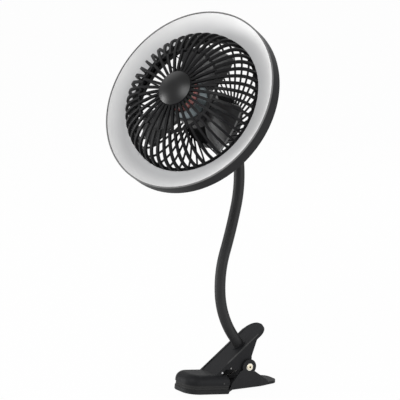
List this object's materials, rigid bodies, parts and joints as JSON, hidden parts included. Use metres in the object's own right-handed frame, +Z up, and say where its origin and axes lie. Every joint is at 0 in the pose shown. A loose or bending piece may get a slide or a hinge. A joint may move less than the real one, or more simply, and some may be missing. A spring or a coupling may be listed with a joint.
{
  "type": "portable camping fan",
  "caption": "Clip-on camping fan: a caged fan inside a white light ring, on a bendable rod neck that stands on a sprung two-jaw clamp.",
  "frame": {"origin": "middle of the lower jaw pad's gripping face, between the closed jaws", "axes": "+Z up and along the neck, +X from the jaws' toe towards the handles, +Y to the clamp's left seen from the handles' side"},
  "size_m": [0.1717, 0.1889, 0.4009],
  "materials": {
    "black_plastic": "fine matte, dark charcoal black",
    "grille_plastic": "fine matte black",
    "blade_plastic": "satin black",
    "pad_rubber": "dull black rubber",
    "neck_rubber": "smooth matte black rubber",
    "steel": "plain turned steel",
    "spring_steel": "dark spring wire",
    "rivet_brass": "worn brass",
    "rivet_nickel": "warm nickel plate",
    "milky_plastic": "milky white, satin",
    "white_board": "white solder mask",
    "led_lens": "pale yellow phosphor",
    "bracket_plastic": "matte dark grey",
    "green_board": "green solder mask",
    "lamination": "stacked silicon steel",
    "copper": "red enamelled copper wire",
    "motor_can": "cool grey plated steel cup",
    "magnet": "dull ferrite",
    "dark_screw": "black oxide",
    "battery_foil": "silver pouch",
    "switch_plastic": "matte black",
    "button_plastic": "satin dark grey",
    "light_pipe": "clear bluish",
    "port_steel": "bright shell"
  },
  "bodies": {
    "lower_clamp": {"lower_lever": "black_plastic", "lower_pad": "pad_rubber", "pivot_rivet": "rivet_brass", "rivet_washers": "rivet_nickel", "spring_spool": "black_plastic", "torsion_spring": "spring_steel"},
    "upper_clamp": {"upper_lever": "black_plastic", "upper_pad": "pad_rubber", "boot_pin": "steel", "pad_pins": "steel", "neck_foot": "steel", "neck_washer": "steel", "neck_nut": "steel", "neck_sleeve_0": "neck_rubber"},
    "neck_link_1": {"neck_core_1": "steel", "neck_sleeve_1": "neck_rubber"},
    "neck_link_2": {"neck_core_2": "steel", "neck_sleeve_2": "neck_rubber"},
    "neck_link_3": {"neck_core_3": "steel", "neck_sleeve_3": "neck_rubber"},
    "neck_link_4": {"neck_core_4": "steel", "neck_sleeve_4": "neck_rubber"},
    "fan_head": {"neck_tail": "steel", "tail_nut": "steel", "neck_sleeve_5": "neck_rubber", "ring_housing": "black_plastic", "ring_back": "black_plastic", "light_diffuser": "milky_plastic", "led_board": "white_board", "leds": "led_lens", "front_grille": "grille_plastic", "hub_cap": "grille_plastic", "rear_grille": "grille_plastic", "motor_bracket": "bracket_plastic", "motor_screws": "steel", "motor_bearings": "steel", "motor_board": "green_board", "motor_stator": "lamination", "motor_windings": "copper", "hub_cover": "black_plastic", "hub_screws": "dark_screw", "battery_cell": "battery_foil", "control_board": "green_board", "button_switches": "switch_plastic", "charge_lights": "light_pipe", "charge_port": "port_steel"},
    "rotor": {"motor_can": "motor_can", "motor_magnets": "magnet", "motor_shaft": "steel", "fan_rotor": "blade_plastic", "rotor_nut": "steel"},
    "fan_switch": {"fan_button": "button_plastic"},
    "light_switch": {"light_button": "button_plastic"}
  },
  "joints": [
    {"name": "clamp_open", "type": "hinge", "parent": "lower_clamp", "child": "upper_clamp", "pos_m": [0.05, 0, 0.0157], "axis": [0, 1, 0], "range_deg": [0, 30], "stiffness_Nm_per_rad": 1, "springref_deg": -45.84, "deforming": ["torsion_spring"]},
    {"name": "neck_bend_1", "type": "hinge", "parent": "upper_clamp", "child": "neck_link_1", "pos_m": [0.04106, 0.00117, 0.0476], "axis": [0, 0.9934, -0.1149], "range_deg": [-30, 30]},
    {"name": "neck_bend_2", "type": "hinge", "parent": "neck_link_1", "child": "neck_link_2", "pos_m": [0.02853, 0.00645, 0.09324], "axis": [-0.9997, 0.0028, 0.0243], "range_deg": [-30, 30]},
    {"name": "neck_bend_3", "type": "hinge", "parent": "neck_link_2", "child": "neck_link_3", "pos_m": [0.03777, 0.01145, 0.13642], "axis": [0, 0.9934, -0.1149], "range_deg": [-30, 30]},
    {"name": "neck_bend_4", "type": "hinge", "parent": "neck_link_3", "child": "neck_link_4", "pos_m": [0.05499, 0.01684, 0.18304], "axis": [-0.9527, 0.0349, 0.302], "range_deg": [-30, 30]},
    {"name": "neck_bend_5", "type": "hinge", "parent": "neck_link_4", "child": "fan_head", "pos_m": [0.05579, 0.02155, 0.24979], "axis": [0.4497, -0.8873, 0.1027], "range_deg": [-30, 30]},
    {"name": "rotor_spin", "type": "hinge", "parent": "fan_head", "child": "rotor", "pos_m": [-0.02201, -0.01142, 0.30559], "axis": [-0.7966, -0.3464, 0.4955], "continuous": true},
    {"name": "fan_button_press", "type": "slide", "parent": "fan_head", "child": "fan_switch", "axis": [-0.7966, -0.3464, 0.4955], "range_m": [0, 0.0006], "stiffness_N_per_m": 1500, "springref_m": -0.0005},
    {"name": "light_button_press", "type": "slide", "parent": "fan_head", "child": "light_switch", "axis": [-0.7966, -0.3464, 0.4955], "range_m": [0, 0.0006], "stiffness_N_per_m": 1500, "springref_m": -0.0005}
  ]
}
